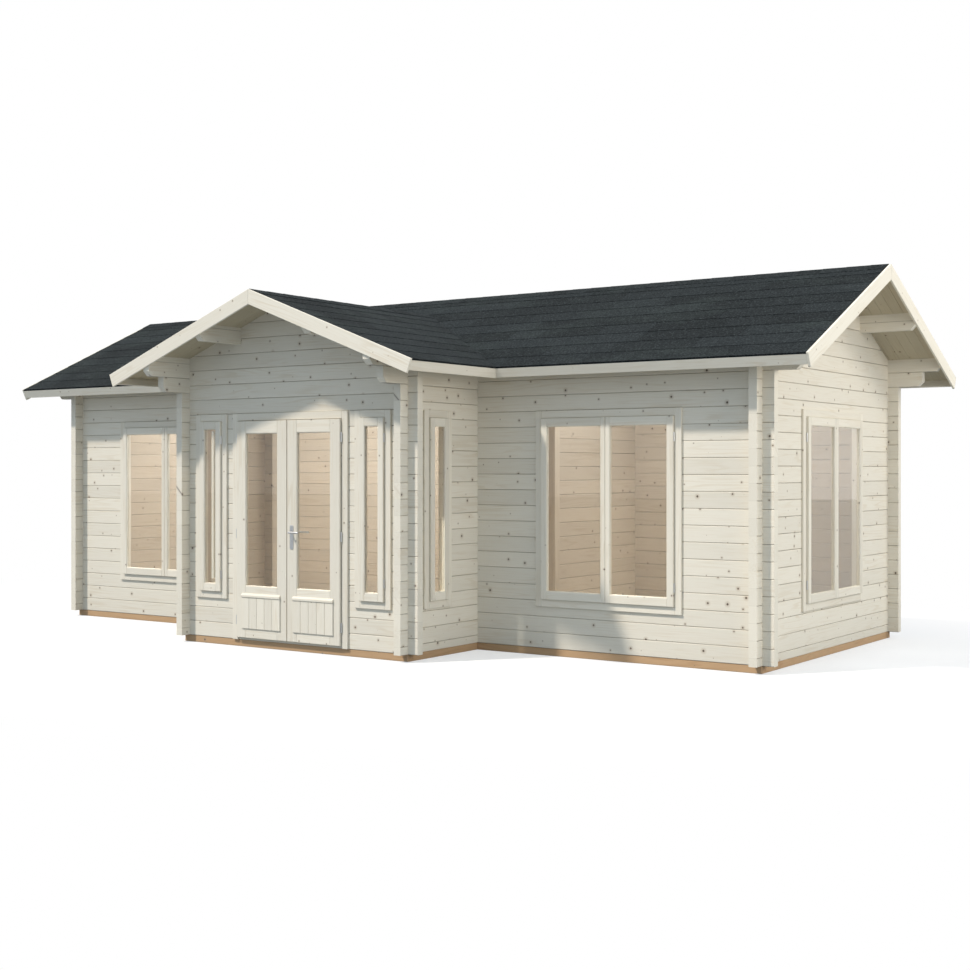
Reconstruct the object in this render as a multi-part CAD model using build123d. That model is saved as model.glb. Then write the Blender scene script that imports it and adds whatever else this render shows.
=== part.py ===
"""Log cabin with a gabled bay at its front: logs, roof, windows and a double door.

Millimetres. X runs along the cabin, Y from the bay to the back wall, Z up from the ground.
The origin is under the middle of the roof's outline.
"""
from build123d import *
import os
from math import ceil, cos, radians, sin, tan

# Plan of the walls, over their outer faces
main_length = 7990
main_depth = 2960
bay_width = 2610
bay_depth = 1005

# Logs: flat faced, crossed and notched at the corners, half a course apart on crossing walls
log_thickness = 70
log_course = 135
log_bevel = 4
corner_projection = 100
wall_courses = 17
lintel_courses = 15
eave_log_trim = 46
corbel_reach = 325
corbel_bevel = 45

# Partition with a doorway, in line with the bay's right wall
partition_door_inset = 370
partition_door_width = 850

# Foundation beams and floor
beam_height = 62
beam_width = 60
beam_setback = 4
beam_joint = 0.5
joist_spacing = 1000
floor_thickness = 19
floor_clearance = 2

# Roof
main_pitch = 25.3
bay_pitch = 20.9
eave_overhang = 345
bay_eave_overhang = 430
gable_overhang = 515
bay_gable_overhang = 520
board_thickness = 18
shingle_thickness = 8
roof_joint = 2
barge_width = 120
barge_thickness = 20
barge_upstand = 6
fascia_height = 97
fascia_thickness = 20
purlin_offset = 700
bay_purlin_offset = 620
purlin_depth = 135
purlin_bevel = 40

# Windows: a frame lines the wall and carries casings, and the sashes stand proud of them
sash_bottom = 420
sash_height = 1540
double_sash_width = 627
narrow_sash_share = 0.4626
narrow_stile_share = 0.22
sash_joint = 3
sash_thickness = 44
sash_proud = 38
sash_stile = 57
sash_meeting_stile = 40
sash_rail = 69
sash_gap = 2
frame_lining = 23
frame_stop = 12
casing_reach = 64
casing_thickness = 18
pane_thickness = 14
pane_rebate = 10
bay_side_window_inset = 400

# Double door that opens outward
leaf_width = 600
leaf_thickness = 44
leaf_proud = 38
door_gap = 5
meeting_gap = 8
door_head = 64
door_lining = 40
door_stop = 17
leaf_stile = 110
leaf_top_rail = 109
leaf_glass_bottom = 486
leaf_panel_bottom = 106
leaf_panel_side = 70
leaf_panel_raise = 10
drip_bottom = 386
drip_height = 38
drip_reach = 16

# Door hinges and handle
knuckle_radius = 7
knuckle_height = 42
knuckle_gap = 1
knuckle_web = 6
hinge_height_shares = (0.08, 0.48, 0.92)
plate_width = 40
plate_height = 210
plate_thickness = 4
plate_middle = 935
spindle_radius = 9
spindle_clearance = 0.4
lever_height = 978
lever_length = 120
lever_radius = 9
lever_standoff = 48

# Extra length of every cutting tool
overrun = 50


# Places that follow from the sizes
half_length = main_length / 2
bay_half = bay_width / 2
roof_depth = main_depth + eave_overhang + bay_depth + bay_gable_overhang
front_y = roof_depth / 2 - eave_overhang - main_depth
back_y = front_y + main_depth
ridge_y = front_y + main_depth / 2
bay_y = front_y - bay_depth
base = beam_height
floor_top = base + floor_thickness

main_slope = tan(radians(main_pitch))
bay_slope = tan(radians(bay_pitch))
front_eave_y = front_y - eave_overhang
back_eave_y = back_y + eave_overhang
bay_eave_x = bay_half + bay_eave_overhang
gable_end_x = half_length + gable_overhang
bay_end_y = bay_y - bay_gable_overhang
inner_gable_x = gable_end_x - barge_thickness
inner_bay_y = bay_end_y + barge_thickness
valley_y = front_eave_y + bay_slope * bay_eave_x / main_slope

# The roof is stacked down from the top edge of the bargeboards
eave_log_top = base + (wall_courses + 2) * log_course - eave_log_trim


def layer_drops(pitch):
    """Depths below the bargeboards' top edge: shingle top, board top and board underside."""
    rise = cos(radians(pitch))
    shingle_low = barge_upstand + shingle_thickness / rise
    return barge_upstand, shingle_low, shingle_low + board_thickness / rise


main_drops = layer_drops(main_pitch)
bay_drops = layer_drops(bay_pitch)
eave_top = eave_log_top + main_drops[2] - main_slope * eave_overhang


def main_top(y):
    return eave_top + main_slope * min(y - front_eave_y, back_eave_y - y)


def bay_top(x):
    return eave_top + bay_slope * (bay_eave_x - abs(x))


def block(x_span, y_span, z_span):
    """A box between three pairs of coordinates."""
    spans = (x_span, y_span, z_span)
    middle = [(low + high) / 2 for low, high in spans]
    return Pos(*middle) * Box(*[high - low for low, high in spans])


def prism_x(points, x_span):
    """An outline of (y, z) points, run along X."""
    face = make_face(Polyline(*[(x_span[0], y, z) for y, z in points], close=True))
    return extrude(face, amount=x_span[1] - x_span[0], dir=(1, 0, 0))


def prism_y(points, y_span):
    """An outline of (x, z) points, run along Y."""
    face = make_face(Polyline(*[(x, y_span[0], z) for x, z in points], close=True))
    return extrude(face, amount=y_span[1] - y_span[0], dir=(0, 1, 0))


def prism_z(points, z_span):
    """An outline of (x, y) points, run along Z."""
    face = make_face(Polyline(*[(x, y, z_span[0]) for x, y in points], close=True))
    return extrude(face, amount=z_span[1] - z_span[0], dir=(0, 0, 1))


def mirrored(shape):
    return mirror(shape, about=Plane.YZ)


def pair(shape):
    """A piece of the right-hand side and its mirror image."""
    return [shape, mirrored(shape)]


def save(name, shapes):
    solids = [solid for shape in shapes for solid in shape.solids()]
    whole = solids[0] if len(solids) == 1 else Compound(children=solids)
    export_step(whole, f"parts/{name}.step")


# Log walls


def full_line(course):
    """Height of a bed joint in a wall that starts with a whole log."""
    return base + course * log_course


def half_line(course):
    """Height of a bed joint in a wall that starts with a half log."""
    return base + max(0, course - 1 / 2) * log_course


def log_profile(near, lines):
    """Outline of a stack of logs, with each long edge bevelled."""
    far = near + log_thickness
    logs = list(zip(lines, lines[1:]))
    near_side = []
    far_side = []
    for low, high in logs:
        near_side += [(near + log_bevel, low), (near, low + log_bevel), (near, high - log_bevel)]
        far_side += [(far - log_bevel, low), (far, low + log_bevel), (far, high - log_bevel)]
    near_side.append((near + log_bevel, lines[-1]))
    far_side.append((far - log_bevel, lines[-1]))
    return near_side + far_side[::-1]


ridge_courses = ceil((main_top(ridge_y) - base) / log_course) + 1


def notches(columns, shift):
    """Seats for the crossing logs, half a course high, in each corner column."""
    seats = []
    for x, y in columns:
        for course in range(ridge_courses + 1):
            middle = base + (course + shift) * log_course
            seat = (middle - log_course / 4, middle + log_course / 4)
            seats.append(block((x, x + log_thickness), (y, y + log_thickness), seat))
    return seats


def wall_x(x_span, y, courses, columns):
    """Logs along X, from whole logs, notched for the walls that cross them."""
    lines = [full_line(course) for course in range(courses[0], courses[1] + 1)]
    return prism_x(log_profile(y, lines), x_span) - notches(columns, 0)


def wall_y(y_span, x, courses, columns):
    """Logs along Y, from a half log, notched for the walls that cross them."""
    lines = [half_line(course) for course in range(courses[0], courses[1] + 1)]
    return prism_y(log_profile(x, lines), y_span) - notches(columns, 1 / 2)


gable_x = half_length - log_thickness
bay_side_x = bay_half - log_thickness
back_wall_y = back_y - log_thickness
stub_x = bay_side_x - corner_projection
stub_y = front_y + log_thickness + corner_projection

front_columns = [(gable_x, front_y), (bay_side_x, front_y)]
partition_columns = [(bay_side_x, back_wall_y)]
back_columns = [(gable_x, back_wall_y), (-half_length, back_wall_y)] + partition_columns
gable_columns = [(gable_x, front_y), (gable_x, back_wall_y)]
bay_side_columns = [(bay_side_x, bay_y), (bay_side_x, front_y)]
bay_front_columns = [(bay_side_x, bay_y), (-bay_half, bay_y)]

# Space below the roof boards
under_main = prism_x(
    [
        (front_eave_y, 0),
        (back_eave_y, 0),
        (back_eave_y, main_top(back_eave_y) - main_drops[2]),
        (ridge_y, main_top(ridge_y) - main_drops[2]),
        (front_eave_y, main_top(front_eave_y) - main_drops[2]),
    ],
    (-gable_end_x, gable_end_x),
)
under_bay = prism_y(
    [
        (-bay_eave_x, 0),
        (bay_eave_x, 0),
        (bay_eave_x, bay_top(bay_eave_x) - bay_drops[2]),
        (0, bay_top(0) - bay_drops[2]),
        (-bay_eave_x, bay_top(bay_eave_x) - bay_drops[2]),
    ],
    (bay_end_y, back_eave_y),
)


# Sheets of the roof, cut on upright planes along the valleys

roof_high = main_top(ridge_y) + overrun
valley = prism_z([(0, valley_y), (bay_eave_x, front_eave_y), (0, front_eave_y)], (0, roof_high))
bay_plan = prism_z(
    [(0, bay_end_y), (bay_eave_x, bay_end_y), (bay_eave_x, front_eave_y), (0, valley_y)],
    (0, roof_high),
)


def eave_point(edge, inward, pitch, depth, setback):
    """A point (across, z) square below the top edge of an eave, at a setback up the slope."""
    angle = radians(pitch)
    across = edge + inward * (depth * sin(angle) + setback * cos(angle))
    return across, eave_top - depth * cos(angle) + setback * sin(angle)


def layer_outline(edge, inward, pitch, drops, setback, ridge, top):
    """A sheet of a slope between two drops below its top edge: square at the eave, upright at the ridge."""
    depths = [drop * cos(radians(pitch)) for drop in drops]
    eave = [eave_point(edge, inward, pitch, depth, setback) for depth in depths]
    return [eave[0], (ridge, top(ridge) - drops[0]), (ridge, top(ridge) - drops[1]), eave[1]]


def main_layer(edge, inward, drops, setback, x_span):
    ridge = ridge_y - inward * roof_joint / 2
    return prism_x(layer_outline(edge, inward, main_pitch, drops, setback, ridge, main_top), x_span)


def bay_layer(drops, setback):
    """A sheet of the bay roof's right slope, up to the valley."""
    outline = layer_outline(bay_eave_x, -1, bay_pitch, drops, setback, roof_joint / 2, bay_top)
    return prism_y(outline, (inner_bay_y, ridge_y)) & bay_plan


def front_sheet(setback, first, last):
    """The right-hand front slope of one roof layer, cut along the valley."""
    drops = (main_drops[first], main_drops[last])
    return main_layer(front_eave_y, 1, drops, setback, (roof_joint / 2, inner_gable_x)) - valley


front_boards = front_sheet(fascia_thickness, 1, 2)
front_shingles = front_sheet(0, 0, 1)


# Purlins, with their lower corners bevelled at the open ends


def purlin_outline(middle, top):
    """Section of a purlin whose top follows the underside of the boards."""
    low = top(middle) - purlin_depth
    sides = (middle - log_thickness / 2, middle + log_thickness / 2)
    return [(sides[0], low), (sides[1], low), (sides[1], top(sides[1])), (sides[0], top(sides[0]))]


def main_underside(y):
    return main_top(y) - main_drops[2]


def bay_underside(x):
    return bay_top(x) - bay_drops[2]


def end_bevel(end, low, size, outward):
    """Corner triangle, in (length, z), cut off a log's lower end."""
    back = end - outward * size
    past = end + outward * overrun
    return [(back, low), (past, low + size + overrun), (past, low - overrun), (back, low - overrun)]


def main_purlin(middle):
    outline = purlin_outline(middle, main_underside)
    low = main_underside(middle) - purlin_depth
    across = (middle - log_thickness, middle + log_thickness)
    purlin = prism_x(outline, (-inner_gable_x, inner_gable_x))
    cut = prism_y(end_bevel(inner_gable_x, low, purlin_bevel, 1), across)
    return purlin - pair(cut)


def bay_purlin(middle):
    outline = purlin_outline(middle, bay_underside)
    low = bay_underside(middle) - purlin_depth
    across = (middle - log_thickness, middle + log_thickness)
    cut = prism_x(end_bevel(inner_bay_y, low, purlin_bevel, -1), across)
    return prism_y(outline, (inner_bay_y, stub_y)) - cut


main_purlins = [main_purlin(ridge_y + side * purlin_offset) for side in (-1, 1)]
bay_purlins = pair(bay_purlin(bay_purlin_offset))

# Eave logs: the two top logs of the long walls run on as corbels under the roof's ends


def eave_log_pair_x(start, y, both_ends, columns):
    """Two logs along X: the lower one ends short of the upper one."""
    lines = [full_line(course) for course in range(wall_courses, wall_courses + 3)]
    ends = (half_length + corbel_reach, inner_gable_x)
    across = (y - overrun, y + log_thickness + overrun)
    logs = []
    for low, high, end in zip(lines, lines[1:], ends):
        log = prism_x(log_profile(y, [low, high]), (-end if both_ends else start, end))
        bevel = prism_y(end_bevel(end, low, corbel_bevel, 1), across)
        logs.append(log - (pair(bevel) if both_ends else [bevel]))
    return ((logs[0] + logs[1]) - notches(columns, 0)) & under_main


def eave_log_pair_y(x, columns):
    """Two logs along Y, under the bay's eave."""
    lines = [half_line(wall_courses), half_line(wall_courses + 1), full_line(wall_courses + 2)]
    ends = (bay_y - corbel_reach, inner_bay_y)
    across = (x - overrun, x + log_thickness + overrun)
    logs = []
    for low, high, end in zip(lines, lines[1:], ends):
        log = prism_y(log_profile(x, [low, high]), (end, stub_y))
        logs.append(log - prism_x(end_bevel(end, low, corbel_bevel, -1), across))
    return (((logs[0] + logs[1]) - notches(columns, 1 / 2)) & under_bay) - front_boards


# Windows, drawn for a wall whose outer face is the plane y = 0 and whose outside is -Y

sash_low = base + sash_bottom
sash_high = sash_low + sash_height
sash_back = sash_thickness - sash_proud
pane_middle = sash_thickness / 2 - sash_proud


def centred(width, margin, y_span):
    """A block over a sash area of some width, wider by a margin on all four sides."""
    half = width / 2 + margin
    return block((-half, half), y_span, (sash_low - margin, sash_high + margin))


def window_opening(width):
    return centred(width, sash_gap + frame_lining, (-overrun, log_thickness + overrun))


def window_frame(width):
    lining = centred(width, sash_gap + frame_lining, (0, log_thickness))
    outside = centred(width, casing_reach, (-casing_thickness, 0))
    inside = centred(width, casing_reach, (log_thickness, log_thickness + casing_thickness))
    pocket = centred(width, sash_gap, (-casing_thickness - overrun, sash_back))
    view = centred(width, -frame_stop, (sash_back, log_thickness + casing_thickness + overrun))
    return lining + outside + inside - pocket - view


def sash_and_pane(x_span, left_stile, right_stile):
    glass_x = (x_span[0] + left_stile, x_span[1] - right_stile)
    glass_z = (sash_low + sash_rail, sash_high - sash_rail)
    groove_x = (glass_x[0] - pane_rebate, glass_x[1] + pane_rebate)
    groove_z = (glass_z[0] - pane_rebate, glass_z[1] + pane_rebate)
    depth = (pane_middle - pane_thickness / 2, pane_middle + pane_thickness / 2)
    pane = block(groove_x, depth, groove_z)
    sash = block(x_span, (-sash_proud, sash_back), (sash_low, sash_high))
    hole = block(glass_x, (-sash_proud - overrun, sash_back + overrun), glass_z)
    return sash - hole - pane, pane


double_width = 2 * double_sash_width + sash_joint

# A narrow window takes its share of the wall between the door's casing and the bay's side wall
leaf_total = 2 * leaf_width + meeting_gap
door_clear = leaf_total / 2 + door_gap
door_half = door_clear + door_lining
door_casing_x = door_clear + casing_reach
narrow_sash_width = narrow_sash_share * (bay_side_x - door_casing_x)


def double_window():
    right = sash_and_pane((sash_joint / 2, double_width / 2), sash_meeting_stile, sash_stile)
    return window_frame(double_width), pair(right[0]), pair(right[1])


def narrow_window():
    half = narrow_sash_width / 2
    stile = narrow_stile_share * narrow_sash_width
    sash, pane = sash_and_pane((-half, half), stile, stile)
    return window_frame(narrow_sash_width), [sash], [pane]


front_window_x = (bay_half + gable_x) / 2
bay_window_x = (door_half + bay_side_x) / 2
bay_side_window_y = bay_y + bay_side_window_inset
double_places = [
    Pos(front_window_x, front_y, 0),
    Pos(-front_window_x, front_y, 0),
    Pos(half_length, ridge_y, 0) * Rot(0, 0, 90),
]
narrow_places = [
    Pos(bay_window_x, bay_y, 0),
    Pos(-bay_window_x, bay_y, 0),
    Pos(bay_half, bay_side_window_y, 0) * Rot(0, 0, 90),
    Pos(-bay_half, bay_side_window_y, 0) * Rot(0, 0, -90),
]


def save_windows(kind, window, places):
    frame, sashes, panes = window
    save(f"{kind}_window_frames", [place * frame for place in places])
    save(f"{kind}_window_sashes", [place * sash for place in places for sash in sashes])
    save(f"{kind}_window_glass", [place * pane for place in places for pane in panes])


# Walls with their openings

lintel = full_line(lintel_courses)
seam_y = front_y + log_thickness
partition_door_y = (
    seam_y + partition_door_inset,
    seam_y + partition_door_inset + partition_door_width,
)


def save_walls():
    front_right = wall_x((stub_x, half_length + corner_projection), front_y, (0, wall_courses), front_columns)
    front_right -= double_places[0] * window_opening(double_width)
    save("front_wall_right", [front_right])
    save("front_wall_left", [mirrored(front_right)])

    back_end = half_length + corner_projection
    save("back_wall", [wall_x((-back_end, back_end), back_wall_y, (0, wall_courses), back_columns)])

    gable_span = (front_y - corner_projection, back_y + corner_projection)
    gable = (wall_y(gable_span, gable_x, (0, ridge_courses), gable_columns) & under_main) - main_purlins
    save("right_gable_wall", [gable - double_places[2] * window_opening(double_width)])
    save("left_gable_wall", [mirrored(gable)])

    bay_span = (bay_y - corner_projection, stub_y)
    bay_side = wall_y(bay_span, bay_side_x, (0, wall_courses), bay_side_columns)
    bay_side -= narrow_places[2] * window_opening(narrow_sash_width)
    save("bay_right_wall", [bay_side])
    save("bay_left_wall", [mirrored(bay_side)])

    bay_end = bay_half + corner_projection
    beside = wall_x((door_half, bay_end), bay_y, (0, lintel_courses), bay_front_columns)
    beside -= narrow_places[0] * window_opening(narrow_sash_width)
    save("bay_front_wall_right", [beside])
    save("bay_front_wall_left", [mirrored(beside)])

    above = wall_x((-bay_end, bay_end), bay_y, (lintel_courses, ridge_courses), bay_front_columns)
    save("bay_gable_wall", [(above & under_bay) - bay_purlins])

    partition_end = back_y + corner_projection
    below = (0, lintel_courses)
    near = wall_y((stub_y, partition_door_y[0]), bay_side_x, below, [])
    save("partition_near_wall", [near])
    far = wall_y((partition_door_y[1], partition_end), bay_side_x, below, partition_columns)
    save("partition_far_wall", [far])
    over = wall_y((stub_y, partition_end), bay_side_x, (lintel_courses, ridge_courses), partition_columns)
    save("partition_top_wall", [(over & under_main) - main_purlins])

    save("front_eave_logs", pair(eave_log_pair_x(stub_x, front_y, False, front_columns)))
    save("back_eave_logs", [eave_log_pair_x(0, back_wall_y, True, back_columns)])
    save("bay_eave_logs", pair(eave_log_pair_y(bay_side_x, bay_side_columns)))
    save("main_purlins", main_purlins)
    save("bay_purlins", bay_purlins)


# Foundation beams under the walls, joists between them, and the floor


def save_base():
    outer_x = half_length - beam_setback
    inner_x = outer_x - beam_width
    bay_outer_x = bay_half - beam_setback
    bay_inner_x = bay_outer_x - beam_width
    front = front_y + beam_setback
    back = back_y - beam_setback
    bay_front = bay_y + beam_setback
    height = (0, beam_height)
    joist_y = (front + beam_width + beam_joint, back - beam_width - beam_joint)
    bay_joist_y = (bay_front + beam_width + beam_joint, front - beam_joint)

    beams = [
        block((-outer_x, outer_x), (front, front + beam_width), height),
        block((-outer_x, outer_x), (back - beam_width, back), height),
        block((-bay_outer_x, bay_outer_x), (bay_front, bay_front + beam_width), height),
    ]
    beams += pair(block((inner_x, outer_x), joist_y, height))
    beams += pair(block((bay_inner_x, bay_outer_x), bay_joist_y, height))
    beams.append(block((bay_inner_x, bay_outer_x), joist_y, height))
    bays = ceil(2 * inner_x / joist_spacing)
    for index in range(1, bays):
        middle = -inner_x + 2 * inner_x * index / bays
        beams.append(block((middle - beam_width / 2, middle + beam_width / 2), joist_y, height))
    bay_bays = ceil(2 * bay_inner_x / joist_spacing)
    for index in range(1, bay_bays):
        middle = -bay_inner_x + 2 * bay_inner_x * index / bay_bays
        beams.append(block((middle - beam_width / 2, middle + beam_width / 2), bay_joist_y, height))
    save("foundation_beams", beams)

    level = (base, floor_top)
    inside_x = gable_x - floor_clearance
    inside_bay_x = bay_side_x - floor_clearance
    main_floor_y = (seam_y + floor_clearance, back_wall_y - floor_clearance)
    main_floor = block((-inside_x, inside_x), main_floor_y, level)
    beside_wall = (bay_side_x - floor_clearance, bay_half + floor_clearance)
    wall_end = block(beside_wall, (seam_y, stub_y + floor_clearance), level)
    near_wall = block(beside_wall, (seam_y, partition_door_y[0] + floor_clearance), level)
    far_wall = block(beside_wall, (partition_door_y[1] - floor_clearance, back_wall_y), level)
    bay_floor = block(
        (-inside_bay_x, inside_bay_x),
        (bay_y + log_thickness + floor_clearance, seam_y + floor_clearance - beam_joint),
        level,
    )
    log_ends_y = (front_y - floor_clearance, seam_y + overrun)
    log_ends = block((stub_x - floor_clearance, bay_side_x), log_ends_y, level)
    main_floor -= [near_wall, far_wall, mirrored(wall_end)]
    save("floor_boards", [main_floor, bay_floor - pair(log_ends)])


# Roof: boards, shingles, bargeboards and eave fascias

def save_sheets(name, setback, first, last, front):
    """One layer of the whole roof: back slope, two front slopes and two bay slopes."""
    main = (main_drops[first], main_drops[last])
    bay = (bay_drops[first], bay_drops[last])
    save(f"{name}_back", [main_layer(back_eave_y, -1, main, setback, (-inner_gable_x, inner_gable_x))])
    save(f"{name}_front", pair(front))
    save(f"bay_{name}", pair(bay_layer(bay, setback)))


def barge_outline(edge, ridge, pitch, inward):
    """A bargeboard in (across, z): square at its lower end and upright at the ridge."""
    angle = radians(pitch)
    peak = eave_top + tan(angle) * abs(ridge - edge)
    foot = eave_point(edge, inward, pitch, barge_width, 0)
    return [(edge, eave_top), foot, (ridge, peak - barge_width / cos(angle)), (ridge, peak)]


def fascia_outline(edge, inward, pitch, drops):
    """An eave fascia in (across, z): square to the slope, in line with the bargeboards' lower ends."""
    top = drops[1] * cos(radians(pitch))
    corners = [(top, 0), (fascia_height, 0), (fascia_height, fascia_thickness), (top, fascia_thickness)]
    return [eave_point(edge, inward, pitch, depth, setback) for depth, setback in corners]


def behind_eave(edge, inward, pitch, setback, end):
    """The space, in (across, z), from a line square to the slope at its eave to an upright line."""
    reach = (-overrun, fascia_height + overrun)
    line = [eave_point(edge, inward, pitch, depth, setback) for depth in reach]
    return line + [(end, line[1][1]), (end, line[0][1])]


def save_trim():
    span = (inner_gable_x, gable_end_x)
    front = prism_x(barge_outline(front_eave_y, ridge_y - roof_joint / 4, main_pitch, 1), span)
    back = prism_x(barge_outline(back_eave_y, ridge_y + roof_joint / 4, main_pitch, -1), span)
    save("right_bargeboards", [front, back])
    save("left_bargeboards", [mirrored(front), mirrored(back)])
    bay = prism_y(barge_outline(bay_eave_x, roof_joint / 4, bay_pitch, -1), (bay_end_y, inner_bay_y))
    save("bay_bargeboards", pair(bay))

    back_outline = fascia_outline(back_eave_y, -1, main_pitch, main_drops)
    save("back_fascia", [prism_x(back_outline, (-inner_gable_x, inner_gable_x))])

    # In each inner corner the front fascia butts against the face of the bay's
    beside_bay = prism_y(behind_eave(bay_eave_x, -1, bay_pitch, 0, 0), (bay_end_y, ridge_y))
    bay_shingles = bay_layer(bay_drops[:2], 0)
    front_outline = fascia_outline(front_eave_y, 1, main_pitch, main_drops)
    front_fascia = prism_x(front_outline, (bay_half, inner_gable_x))
    save("front_fascias", pair(front_fascia - beside_bay - bay_shingles))

    past_front = prism_x(behind_eave(front_eave_y, 1, main_pitch, fascia_thickness, ridge_y), (0, gable_end_x))
    bay_outline = fascia_outline(bay_eave_x, -1, bay_pitch, bay_drops)
    bay_fascia = prism_y(bay_outline, (inner_bay_y, front_y))
    save("bay_fascias", pair(bay_fascia - past_front - front_shingles))


# Double door, drawn where it stands

leaf_low = floor_top + door_gap
leaf_high = lintel - door_head - door_gap
leaf_face = bay_y - leaf_proud
leaf_back = leaf_face + leaf_thickness
casing_face = bay_y - casing_thickness
hinge_x = leaf_total / 2 + knuckle_radius
hinge_y = casing_face - knuckle_radius
hinge_heights = [leaf_low + share * (leaf_high - leaf_low) for share in hinge_height_shares]
wall_back = bay_y + log_thickness


def knuckle(low):
    barrel = Cylinder(knuckle_radius, knuckle_height)
    return Pos(hinge_x, hinge_y, low + knuckle_height / 2) * barrel


def save_door_frame():
    head = leaf_high + door_gap
    stop_y = leaf_back + door_gap
    stop_x = door_clear - door_stop
    casing_top = head + casing_reach
    inside_y = wall_back + casing_thickness
    lining = block((-door_half, door_half), (bay_y, wall_back), (base, lintel))
    outside = block((-door_casing_x, door_casing_x), (casing_face, bay_y), (base, casing_top))
    inside = block((-door_casing_x, door_casing_x), (wall_back, inside_y), (floor_top, casing_top))
    pocket = block((-door_clear, door_clear), (casing_face - overrun, stop_y), (0, head))
    passage = block((-stop_x, stop_x), (stop_y, inside_y + overrun), (0, head - door_stop))
    frame = lining + outside + inside - pocket - passage
    frame += block((-door_clear, door_clear), (bay_y, wall_back), (base, floor_top))
    for height in hinge_heights:
        low = height - knuckle_height - knuckle_gap / 2
        web = block(
            (hinge_x - knuckle_web / 2, hinge_x + knuckle_web / 2),
            (hinge_y, bay_y),
            (low, low + knuckle_height),
        )
        frame += pair(knuckle(low) + web)
    save("door_frame", [frame])


def door_leaf():
    """The right-hand leaf and its pane."""
    x_span = (meeting_gap / 2, leaf_total / 2)
    y_span = (leaf_face, leaf_back)
    through = (leaf_face - overrun, leaf_back + overrun)
    glass_x = (x_span[0] + leaf_stile, x_span[1] - leaf_stile)
    glass_z = (base + leaf_glass_bottom, leaf_high - leaf_top_rail)
    middle = (leaf_face + leaf_back) / 2
    pane = block(
        (glass_x[0] - pane_rebate, glass_x[1] + pane_rebate),
        (middle - pane_thickness / 2, middle + pane_thickness / 2),
        (glass_z[0] - pane_rebate, glass_z[1] + pane_rebate),
    )
    panel_x = (x_span[0] + leaf_panel_side, x_span[1] - leaf_panel_side)
    panel_y = (leaf_face - leaf_panel_raise, leaf_back + leaf_panel_raise)
    drip_low = base + drip_bottom
    panel_z = (base + leaf_panel_bottom, drip_low)
    leaf = block(x_span, y_span, (leaf_low, leaf_high)) - block(glass_x, through, glass_z) - pane
    leaf += block(panel_x, panel_y, panel_z)
    drip = [
        (leaf_face, drip_low),
        (leaf_face - drip_reach, drip_low),
        (leaf_face - drip_reach, drip_low + drip_height / 4),
        (leaf_face, drip_low + drip_height),
    ]
    leaf += prism_x(drip, panel_x)
    for height in hinge_heights:
        low = height + knuckle_gap / 2
        web = block(
            (x_span[1] - knuckle_web, hinge_x),
            (hinge_y - knuckle_web / 2, hinge_y + knuckle_web / 2),
            (low, low + knuckle_height),
        )
        leaf += knuckle(low) + web
    return leaf, pane


spindle_x = meeting_gap / 2 + leaf_stile / 2


def along_y(radius, y_span):
    """A round bar through the lever's axis."""
    bar = Cylinder(radius, y_span[1] - y_span[0])
    return Pos(spindle_x, sum(y_span) / 2, base + lever_height) * Rot(90, 0, 0) * bar


def save_door():
    leaf, pane = door_leaf()
    plates_y = (leaf_face - plate_thickness, leaf_back + plate_thickness)
    bore = along_y(spindle_radius + spindle_clearance, (plates_y[0] - overrun, plates_y[1] + overrun))
    save("left_door_leaf", [mirrored(leaf)])
    save("left_door_glass", [mirrored(pane)])
    save("right_door_leaf", [leaf - bore])
    save("right_door_glass", [pane])

    plate_x = (spindle_x - plate_width / 2, spindle_x + plate_width / 2)
    plate_z = (base + plate_middle - plate_height / 2, base + plate_middle + plate_height / 2)
    outer = block(plate_x, (plates_y[0], leaf_face), plate_z) - bore
    inner = block(plate_x, (leaf_back, plates_y[1]), plate_z) - bore
    save("door_handle_plates", [outer, inner])

    grips_y = (plates_y[0] - lever_standoff, plates_y[1] + lever_standoff)
    lever = along_y(spindle_radius, (grips_y[0] - lever_radius, grips_y[1] + lever_radius))
    for y in grips_y:
        grip = Cylinder(lever_radius, lever_length)
        lever += Pos(spindle_x + lever_length / 2, y, base + lever_height) * Rot(0, 90, 0) * grip
    save("door_lever", [lever])


os.makedirs("parts", exist_ok=True)
save_base()
save_walls()
save_sheets("roof_boards", fascia_thickness, 1, 2, front_boards)
save_sheets("shingles", 0, 0, 1, front_shingles)
save_trim()
save_windows("double", double_window(), double_places)
save_windows("narrow", narrow_window(), narrow_places)
save_door_frame()
save_door()
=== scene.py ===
"""Log cabin: the finish of its surfaces, and the boards, shingles and fittings that dress its frame.

Metres. X runs along the cabin, Y from the door to the back wall, Z up from the ground.
"""
import math
import random

import bmesh
import bpy
from mathutils import Matrix, Vector


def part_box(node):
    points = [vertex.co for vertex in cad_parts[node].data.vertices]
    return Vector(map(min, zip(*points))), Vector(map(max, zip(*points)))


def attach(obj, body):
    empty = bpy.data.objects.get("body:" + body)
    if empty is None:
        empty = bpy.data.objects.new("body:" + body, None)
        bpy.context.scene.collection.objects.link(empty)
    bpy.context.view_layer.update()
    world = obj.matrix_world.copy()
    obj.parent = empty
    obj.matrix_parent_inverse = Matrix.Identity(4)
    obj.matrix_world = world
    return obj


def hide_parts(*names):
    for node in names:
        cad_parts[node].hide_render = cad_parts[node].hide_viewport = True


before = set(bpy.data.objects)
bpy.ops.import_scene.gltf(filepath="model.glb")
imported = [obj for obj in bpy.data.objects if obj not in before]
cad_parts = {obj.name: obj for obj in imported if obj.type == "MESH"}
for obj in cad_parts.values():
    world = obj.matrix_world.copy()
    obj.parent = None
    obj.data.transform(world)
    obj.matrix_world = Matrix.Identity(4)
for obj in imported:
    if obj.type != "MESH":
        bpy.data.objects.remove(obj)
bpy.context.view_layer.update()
dice = random.Random(11)

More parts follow.
